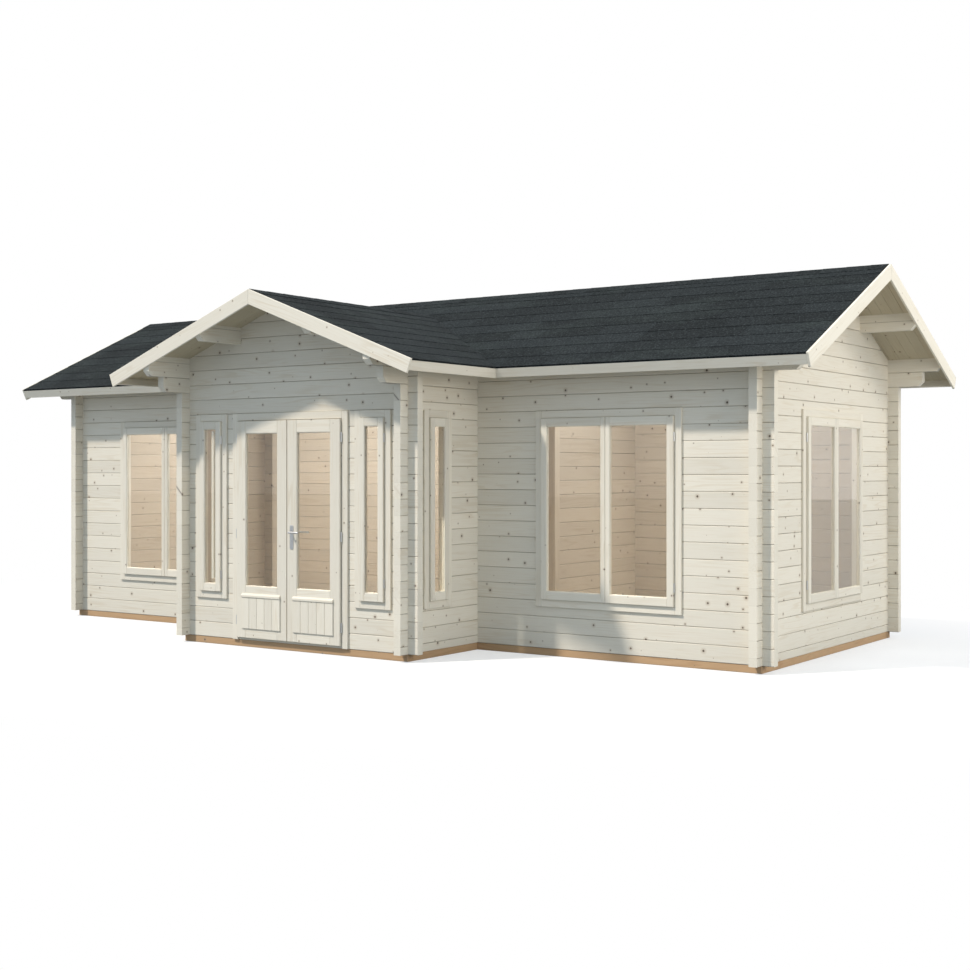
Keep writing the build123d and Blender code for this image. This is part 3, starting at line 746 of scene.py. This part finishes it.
def lay_roof_boards(name, names, replaced):
    """Boards from eave to ridge, with a groove at each joint."""
    boards = Parts()
    for slope in (slopes[key] for key in names):
        left = min(x for x, _ in slope.region)
        right = max(x for x, _ in slope.region)
        count = round((right - left) / ROOF_BOARD_WIDTH)
        pitch = (right - left) / count
        for i in range(count):
            start = left + i * pitch
            corners = [(start, FASCIA_THICKNESS), (start + pitch, FASCIA_THICKNESS)]
            corners += [(start + pitch, slope.length), (start, slope.length)]
            outline = clip(corners, slope.region)
            if len(outline) > 2:
                low = [(x, s, -SHINGLE_LAYER - ROOF_BOARD) for x, s in outline]
                boards.solid(prism(low, (0, 0, ROOF_BOARD), ROOF_BOARD_EASE), 1, slope.place)
    boards.piece(name, SOFFIT, "roof_wood", replaces=replaced)


def barge(parts, slope, start, end):
    """A bargeboard: square at its foot, upright at the ridge."""
    top = BARGE_UPSTAND * math.cos(slope.pitch)
    foot = top - BARGE_WIDTH
    lean = math.tan(slope.pitch)
    outline = [(0, top), (0, foot), (slope.length + foot * lean, foot), (slope.length + top * lean, top)]
    run = (end - start, 0, 0)
    parts.solid(prism([(start, s, h) for s, h in outline], run, JOINERY_EASE), 1, slope.place)


def eave_drops(pitch):
    """Heights from the bargeboards' top edge down to a fascia's upper and lower edges."""
    upper = SHINGLE_LAYER + BARGE_UPSTAND * math.cos(pitch)
    return upper * math.cos(pitch), FASCIA_HEIGHT * math.cos(pitch)


def eave_board(parts, slope, starts, ends):
    """A fascia square to its slope. Its ends are given along the eave, upper edge first."""
    foot = BARGE_UPSTAND * math.cos(slope.pitch) - FASCIA_HEIGHT
    outline = [(starts[0], 0, -SHINGLE_LAYER), (ends[0], 0, -SHINGLE_LAYER)]
    outline += [(ends[1], 0, foot), (starts[1], 0, foot)]
    parts.solid(prism(outline, (0, FASCIA_THICKNESS, 0), JOINERY_EASE), 0, slope.place)


def trim_roof():
    for side, names in (("left", ("front_left", "back")), ("right", ("front_right", "back"))):
        low, high = box(f"{side}_bargeboards")
        parts = Parts()
        barge(parts, slopes[names[0]], low.x, high.x)
        barge(parts, slopes[names[1]], -low.x, -high.x)
        parts.piece(f"{side}_barge_pair", TRIM, "trim_wood", replaces=[f"{side}_bargeboards"])
    low, high = box("bay_bargeboards")
    parts = Parts()
    barge(parts, slopes["bay_right"], low.y, high.y)
    barge(parts, slopes["bay_left"], -low.y, -high.y)
    parts.piece("bay_barge_pair", TRIM, "trim_wood", replaces=["bay_bargeboards"])

    corner = box("right_bargeboards")[0].y
    bay_edge = box("bay_bargeboards")[1].x
    gable = box("right_bargeboards")[0].x
    bay_end = box("bay_bargeboards")[1].y
    butts = [bay_edge - drop * math.tan(BAY_PITCH) for drop in eave_drops(MAIN_PITCH)]
    through = FASCIA_THICKNESS / math.cos(MAIN_PITCH)
    meets = [corner + drop * math.tan(MAIN_PITCH) + through for drop in eave_drops(BAY_PITCH)]
    runs = [
        ("front_eave_boards", "front_fascias", "front_right", butts, (gable, gable)),
        ("front_eave_boards", "front_fascias", "front_left", (-gable, -gable), [-x for x in butts]),
        ("back_eave_board", "back_fascia", "back", (-gable, -gable), (gable, gable)),
        ("bay_eave_boards", "bay_fascias", "bay_right", (bay_end, bay_end), meets),
        ("bay_eave_boards", "bay_fascias", "bay_left", [-y for y in meets], (-bay_end, -bay_end)),
    ]
    boards = {}
    for name, node, slope, starts, ends in runs:
        parts, _ = boards.setdefault(name, (Parts(), node))
        eave_board(parts, slopes[slope], starts, ends)
    for name, (parts, node) in boards.items():
        parts.piece(name, TRIM, "trim_wood", replaces=[node])


# Windows: built in their own axes, along the wall, out of it and up


def wall_axes(low, high):
    """Placement of a window from its box: origin on the wall's outer face under the window's middle."""
    middle = (low + high) / 2
    if high.x - low.x > high.y - low.y:
        along, out, face = Vector((1, 0, 0)), Vector((0, -1, 0)), Vector((middle.x, low.y + CASING, 0))
    elif middle.x > 0:
        along, out, face = Vector((0, 1, 0)), Vector((1, 0, 0)), Vector((high.x - CASING, middle.y, 0))
    else:
        along, out, face = Vector((0, -1, 0)), Vector((-1, 0, 0)), Vector((low.x + CASING, middle.y, 0))
    axes = Matrix((along, out, Vector((0, 0, 1)))).transposed().to_4x4()
    return Matrix.Translation(face) @ axes


def local_box(place, corners):
    """A box's corners in a window's own axes."""
    back = place.inverted()
    points = [back @ corner for corner in corners]
    return Vector(map(min, zip(*points))), Vector(map(max, zip(*points)))


def border(parts, inner, outer, depth, ease, place):
    """Four boards between two rectangles (left, right, low, high): uprights at full height, then rails."""
    near, far = depth
    parts.board((outer[0], near, outer[2]), (inner[0], far, outer[3]), ease, 2, place)
    parts.board((inner[1], near, outer[2]), (outer[1], far, outer[3]), ease, 2, place)
    parts.board((inner[0], near, outer[2]), (inner[1], far, inner[2]), ease, 0, place)
    parts.board((inner[0], near, inner[3]), (inner[1], far, outer[3]), ease, 0, place)


def grown(rectangle, margin):
    left, right, low, high = rectangle
    return left - margin, right + margin, low - margin, high + margin


def plan(low, high):
    return low.x, high.x, low.z, high.z


def dress_windows(kind):
    frames = Parts()
    sashes = Parts()
    hinges = Parts()
    sash_boxes = islands(f"{kind}_window_sashes")
    pane_boxes = islands(f"{kind}_window_glass")
    for corners in islands(f"{kind}_window_frames"):
        place = wall_axes(*corners)
        whole = local_box(place, corners)
        outer = plan(*whole)

        def within(pair):
            middle = (pair[0] + pair[1]) / 2
            return all(a < c < b for a, c, b in zip(corners[0], middle, corners[1]))

        mine = sorted((local_box(place, b) for b in sash_boxes if within(b)), key=lambda b: b[0].x)
        panes = sorted((local_box(place, b) for b in pane_boxes if within(b)), key=lambda b: b[0].x)
        leaves = (mine[0][0].x, mine[-1][1].x, mine[0][0].z, mine[0][1].z)
        pocket = grown(leaves, SASH_GAP)
        back = whole[0].y
        border(frames, pocket, outer, (0, CASING), JOINERY_EASE, place)
        border(frames, pocket, outer, (back, back + CASING), JOINERY_EASE, place)
        border(frames, pocket, grown(pocket, LINING), (back + CASING, 0), JOINERY_EASE, place)
        border(frames, grown(leaves, -STOP), pocket, (back + CASING, mine[0][0].y), JOINERY_EASE, place)

        for i, (sash, pane) in enumerate(zip(mine, panes)):
            sight = grown(plan(*pane), -PANE_REBATE)
            border(sashes, sight, plan(*sash), (sash[0].y, sash[1].y), JOINERY_EASE, place)
            bead = (pane[1].y, sash[1].y - BEAD_SETBACK)
            border(sashes, grown(sight, -BEAD_WIDTH), sight, bead, BEAD_EASE, place)
            inner_bead = (sash[0].y + BEAD_SETBACK, pane[0].y)
            border(sashes, grown(sight, -BEAD_WIDTH), sight, inner_bead, BEAD_EASE, place)
            edge = leaves[0] if i == 0 and len(mine) > 1 else leaves[1]
            for share in HINGE_SHARES:
                z = leaves[2] + share * (leaves[3] - leaves[2])
                x = edge + math.copysign(HINGE_RADIUS / 3, edge)
                y = CASING + HINGE_RADIUS
                for low, high in ((z - HINGE_HEIGHT / 2, z - HINGE_SPLIT), (z, z + HINGE_HEIGHT / 2)):
                    hinges.solid(rod(HINGE_RADIUS, (x, y, low), (x, y, high)), 2, place)
    frames.piece(f"{kind}_window_casings", CASINGS, "joinery_wood", replaces=[f"{kind}_window_frames"])
    sashes.piece(f"{kind}_window_leaves", JOINERY, "joinery_wood", replaces=[f"{kind}_window_sashes"])
    hinges.piece(f"{kind}_window_hinges", STEEL, "handle_steel", smooth=True)


def dress_partition():
    """Lining and casings of the doorway between the rooms."""
    near = box("partition_near_wall")
    far = box("partition_far_wall")
    top = box("partition_top_wall")
    floor = box("floor_boards")[1].z
    start = near[1].y
    end = far[0].y
    head = top[0].z
    parts = Parts()
    rows = [(near[0].x - CASING, near[0].x, INNER_CASING), (near[1].x, near[1].x + CASING, INNER_CASING)]
    rows.append((near[0].x, near[1].x, 0.0))
    for left, right, reach in rows:
        parts.board((left, start - reach, floor), (right, start + LINING, head + reach), JOINERY_EASE, 2)
        parts.board((left, end - LINING, floor), (right, end + reach, head + reach), JOINERY_EASE, 2)
        corner = (right, end - LINING, head + reach)
        parts.board((left, start + LINING, head - LINING), corner, JOINERY_EASE, 1)
    parts.piece("partition_door_trim", CASINGS, "joinery_wood")


# Door


class Leaf:
    """Sizes of a door leaf, taken from its node and its pane."""

    def __init__(self, side):
        self.side = side
        self.sign = 1 if side == "right" else -1
        low, high = box(f"{side}_door_leaf")
        pane_low, pane_high = box(f"{side}_door_glass")
        self.pane = (pane_low.y, pane_high.y)
        middle = (pane_low.y + pane_high.y) / 2
        self.face = middle - LEAF_THICKNESS / 2
        self.back = middle + LEAF_THICKNESS / 2
        self.sight = grown(plan(pane_low, pane_high), -PANE_REBATE)
        self.edges = (self.sight[0] - LEAF_STILE, self.sight[1] + LEAF_STILE, low.z, high.z)
        self.hinge_edge = max(abs(self.edges[0]), abs(self.edges[1]))
        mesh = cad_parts[f"{side}_door_leaf"].data
        barrel = [v.co for v in mesh.vertices if abs(v.co.x) > self.hinge_edge + JOINERY_EASE]
        near = min(point.y for point in barrel)
        far = max(point.y for point in barrel)
        self.hinge_radius = (far - near) / 2
        outermost = max(abs(point.x) for point in barrel)
        self.hinge = (self.sign * (outermost - self.hinge_radius), (near + far) / 2)
        self.knuckles = spans({round(point.z, 4) for point in barrel})


def spans(levels):
    """Pairs of low and high from a set of levels."""
    levels = sorted(levels)
    return list(zip(levels[::2], levels[1::2]))


def dress_leaf(leaf):
    """Stiles, rails, beads, a raised panel of boards and the drip over it."""
    parts = Parts()
    border(parts, leaf.sight, leaf.edges, (leaf.face, leaf.back), JOINERY_EASE, Matrix())
    for bead in ((leaf.face + BEAD_SETBACK, leaf.pane[0]), (leaf.pane[1], leaf.back - BEAD_SETBACK)):
        border(parts, grown(leaf.sight, -BEAD_WIDTH), leaf.sight, bead, BEAD_EASE, Matrix())
    left = leaf.edges[0] + PANEL_SIDE
    right = leaf.edges[1] - PANEL_SIDE
    foot = log_base + DRIP_LOW
    pitch = (right - left) / PANEL_BOARDS
    for i in range(PANEL_BOARDS):
        x = left + i * pitch
        for near, far in ((leaf.face - PANEL_RAISE, leaf.face), (leaf.back, leaf.back + PANEL_RAISE)):
            parts.board((x, near, log_base + PANEL_LOW), (x + pitch, far, foot), PANEL_EASE, 2)
    drip = [
        (leaf.face, foot),
        (leaf.face - DRIP_REACH, foot),
        (leaf.face - DRIP_REACH, foot + DRIP_HEIGHT * DRIP_LIP_SHARE),
        (leaf.face, foot + DRIP_HEIGHT),
    ]
    parts.solid(prism([(left, y, z) for y, z in drip], (right - left, 0, 0), JOINERY_EASE), 0)
    body = f"{leaf.side}_door"
    parts.piece(f"{body}_joinery", JOINERY, "door_wood", body, [f"{body}_leaf"])

    barrels = Parts()
    for low, high in leaf.knuckles:
        barrels.solid(rod(leaf.hinge_radius, (*leaf.hinge, low), (*leaf.hinge, high)), 2)
    barrels.piece(f"{body}_hinges", STEEL, "handle_steel", body, smooth=True)


def dress_door_frame(leaves):
    """Casings, linings, stops and threshold, with the lower hinge barrels."""
    low, high = box("door_frame")
    wall = box("bay_gable_wall")
    floor = box("floor_boards")[1].z
    clear = leaves[0].hinge_edge + DOOR_GAP
    head = leaves[0].edges[3] + DOOR_GAP
    stop = leaves[0].back + DOOR_GAP
    face = wall[0].y - CASING
    inner = high.y
    parts = Parts()
    rows = [
        (clear, high.x, head, high.z, log_base, (face, wall[0].y)),
        (clear, clear + DOOR_LINING, head, high.z, log_base, (wall[0].y, wall[1].y)),
        (clear - DOOR_STOP, clear, head - DOOR_STOP, head, log_base, (stop, wall[1].y)),
        (clear - DOOR_STOP, high.x, head - DOOR_STOP, high.z, floor, (wall[1].y, inner)),
    ]
    for near_x, far_x, near_z, far_z, foot, (start, end) in rows:
        for sign in (-1, 1):
            left, right = sorted((sign * near_x, sign * far_x))
            parts.board((left, start, foot), (right, end, far_z), JOINERY_EASE, 2)
        parts.board((-near_x, start, near_z), (near_x, end, far_z), JOINERY_EASE, 0)
    parts.board((-clear, wall[0].y, log_base), (clear, wall[1].y, floor), JOINERY_EASE, 0)
    parts.piece("door_casings", CASINGS, "joinery_wood", replaces=["door_frame"])

    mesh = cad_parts["door_frame"].data
    levels = {round(v.co.z, 4) for v in mesh.vertices if v.co.y < face - JOINERY_EASE}
    barrels = Parts()
    for leaf in leaves:
        for bottom, top in spans(levels):
            barrels.solid(rod(leaf.hinge_radius, (*leaf.hinge, bottom), (*leaf.hinge, top)), 2)
    barrels.piece("door_frame_hinges", STEEL, "handle_steel", smooth=True)


def rounded(left, right, low, high, radius, steps=6):
    """A rectangle with round corners, anticlockwise."""
    corners = [(right - radius, low + radius, -90), (right - radius, high - radius, 0)]
    corners += [(left + radius, high - radius, 90), (left + radius, low + radius, 180)]
    outline = []
    for x, z, start in corners:
        for step in range(steps + 1):
            angle = math.radians(start + 90 * step / steps)
            outline.append((x + radius * math.cos(angle), z + radius * math.sin(angle)))
    return outline


def dress_handle():
    """Round-cornered plates with screws and a lock, and a bent lever on each."""
    low, high = box("door_lever")
    axis_x = low.x + LEVER_RADIUS
    axis_z = (low.z + high.z) / 2
    plates = Parts()
    lever = Parts()
    for plate_low, plate_high in islands("door_handle_plates"):
        outside = plate_low.y < (low.y + high.y) / 2
        out = -1 if outside else 1
        face = plate_low.y if outside else plate_high.y
        root = plate_high.y if outside else plate_low.y
        outline = rounded(plate_low.x, plate_high.x, plate_low.z, plate_high.z, PLATE_CORNER)
        plates.solid(prism([(x, root, z) for x, z in outline], (0, face - root, 0), PLATE_EASE), 2)
        lock = axis_z - LOCK_DROP
        plates.solid(rod(LOCK_RADIUS, (axis_x, root, lock), (axis_x, face + out * LOCK_PROUD, lock)), 2)
        for z in (plate_low.z + SCREW_INSET, plate_high.z - SCREW_INSET):
            plates.solid(rod(SCREW_RADIUS, (axis_x, root, z), (axis_x, face + out * SCREW_PROUD, z)), 2)
        grip = (low.y if outside else high.y) - out * LEVER_RADIUS
        rose = (axis_x, face + out * ROSE_PROUD, axis_z)
        lever.solid(rod(ROSE_RADIUS, (axis_x, face, axis_z), rose, ROSE_SIDES), 2)
        path = [(axis_x, (plate_low.y + plate_high.y) / 2, axis_z)]
        for step in range(BEND_STEPS + 1):
            angle = math.pi / 2 * step / BEND_STEPS
            along = axis_x + LEVER_BEND * (1 - math.cos(angle))
            path.append((along, grip - out * LEVER_BEND * (1 - math.sin(angle)), axis_z))
        path.append((high.x - LEVER_RADIUS, grip, axis_z))
        lever.solid(tube(path, LEVER_RADIUS), 0)
    plates.piece("handle_plates", STEEL, "handle_steel", "right_door", ["door_handle_plates"], smooth=True)
    lever.piece("handle_lever", STEEL, "handle_steel", "door_lever", ["door_lever"], smooth=True)


lay_base()
lay_shingles("shingle_tabs_front", ("front_left", "front_right"))
lay_shingles("shingle_tabs_back", ("back",))
lay_shingles("shingle_tabs_bay", ("bay_left", "bay_right"))
lay_caps()
lay_roof_boards("laid_boards_front", ("front_left", "front_right"), ["roof_boards_front"])
lay_roof_boards("laid_boards_back", ("back",), ["roof_boards_back"])
lay_roof_boards("laid_boards_bay", ("bay_left", "bay_right"), ["bay_roof_boards"])
trim_roof()
dress_windows("double")
dress_windows("narrow")
dress_partition()
door_leaves = [Leaf("left"), Leaf("right")]
dress_leaf(door_leaves[0])
dress_leaf(door_leaves[1])
dress_door_frame(door_leaves)
dress_handle()


# Stage, light and camera


def seen_rays(s):
    """1 for rays from the camera, off shiny faces and through glass."""
    path = s.node("LightPath").outputs
    seen = s.math("MAXIMUM", path["Is Camera Ray"], path["Is Glossy Ray"])
    return s.math("MAXIMUM", seen, path["Is Transmission Ray"])


def lay_stage():
    """A pale floor that keeps the shadow and turns white farther out."""
    mesh = bpy.data.meshes.new("studio_floor")
    corners = [(-STAGE_REACH, -STAGE_REACH, 0), (STAGE_REACH, -STAGE_REACH, 0)]
    corners += [(STAGE_REACH, STAGE_REACH, 0), (-STAGE_REACH, STAGE_REACH, 0)]
    mesh.from_pydata(corners, [], [(0, 1, 2, 3)])
    floor = bpy.data.objects.new("studio_floor", mesh)
    bpy.context.scene.collection.objects.link(floor)
    s = Shade(bpy.data.materials.new("studio_floor"))
    place = s.node("TexCoord").outputs["Object"]
    spread = s.product(place, STAGE_STRETCH)
    distance = s.node("VectorMath", {0: spread}, operation="LENGTH").outputs["Value"]
    path = s.node("LightPath").outputs
    seen = s.math("MAXIMUM", path["Is Camera Ray"], path["Is Transmission Ray"])
    paper = s.node("BsdfDiffuse", {"Color": s.mix(seen, STAGE_BOUNCE, STAGE_PALE)})
    white = s.node("Emission", {"Color": paint(1.0, 1.0, 1.0), "Strength": 1.0})
    whiter = s.math("MULTIPLY_ADD", s.fade(distance, *STAGE_FADE), 1 - STAGE_LIFT, STAGE_LIFT)
    share = s.math("MULTIPLY", seen, whiter)
    both = s.node("MixShader", {0: share, 1: paper.outputs[0], 2: white.outputs[0]})
    mesh.materials.append(s.surface(both, "OutputMaterial"))


def light_world():
    """White where it is seen, and a cooler, dimmer sky for the light it gives."""
    world = bpy.data.worlds.new("studio")
    bpy.context.scene.world = world
    s = Shade(world)
    soft = s.node("Background", {"Color": SKY_COLOUR, "Strength": SKY_STRENGTH})
    white = s.node("Background", {"Color": paint(1.0, 1.0, 1.0), "Strength": 1.0})
    both = s.node("MixShader", {0: seen_rays(s), 1: soft.outputs[0], 2: white.outputs[0]})
    s.surface(both, "OutputWorld")


def add_lamp(name, kind, strength, colour):
    lamp = bpy.data.lights.new(name, kind)
    lamp.energy = strength
    lamp.color = colour
    holder = bpy.data.objects.new(name, lamp)
    bpy.context.scene.collection.objects.link(holder)
    return holder


def light_stage():
    light_world()
    key = add_lamp("key_light", "SUN", KEY_STRENGTH, KEY_COLOUR)
    key.data.angle = KEY_ANGLE
    key.rotation_euler = Vector(KEY_HEADING).to_track_quat("-Z", "Y").to_euler()
    low, high = box("right_gable_wall")
    for i, (place, power) in enumerate(SIDE_LAMPS):
        side = add_lamp(f"side_light_{i}", "AREA", power, SIDE_COLOUR)
        side.data.size = SIDE_SIZE
        side.location = place
        side.rotation_euler = ((low + high) / 2 - Vector(place)).to_track_quat("-Z", "Y").to_euler()
        side.visible_camera = False
    partition = box("partition_far_wall")
    ridge = box("shingles_front")[1]
    rooms = ((-low.x, partition[0].x), (partition[1].x, low.x))
    for i, ((start, end), power) in enumerate(zip(rooms, ROOM_POWERS)):
        room = add_lamp(f"room_light_{i}", "AREA", power, ROOM_COLOUR)
        room.data.shape = "RECTANGLE"
        room.data.size = (end - start) * ROOM_LAMP_SHARE
        room.data.size_y = ROOM_LAMP_WIDTH
        room.location = ((start + end) / 2, ridge.y, ridge.z - ROOM_LAMP_DROP)


def place_camera():
    data = bpy.data.cameras.new("camera")
    data.sensor_width = CAMERA_SENSOR
    data.lens = CAMERA_LENS
    data.shift_y = CAMERA_SHIFT
    data.clip_end = CAMERA_REACH
    camera = bpy.data.objects.new("camera", data)
    camera.location = CAMERA_PLACE
    camera.rotation_euler = CAMERA_TURN
    bpy.context.scene.collection.objects.link(camera)
    bpy.context.scene.camera = camera


lay_stage()
light_stage()
place_camera()
bpy.context.scene.view_settings.view_transform = "Standard"
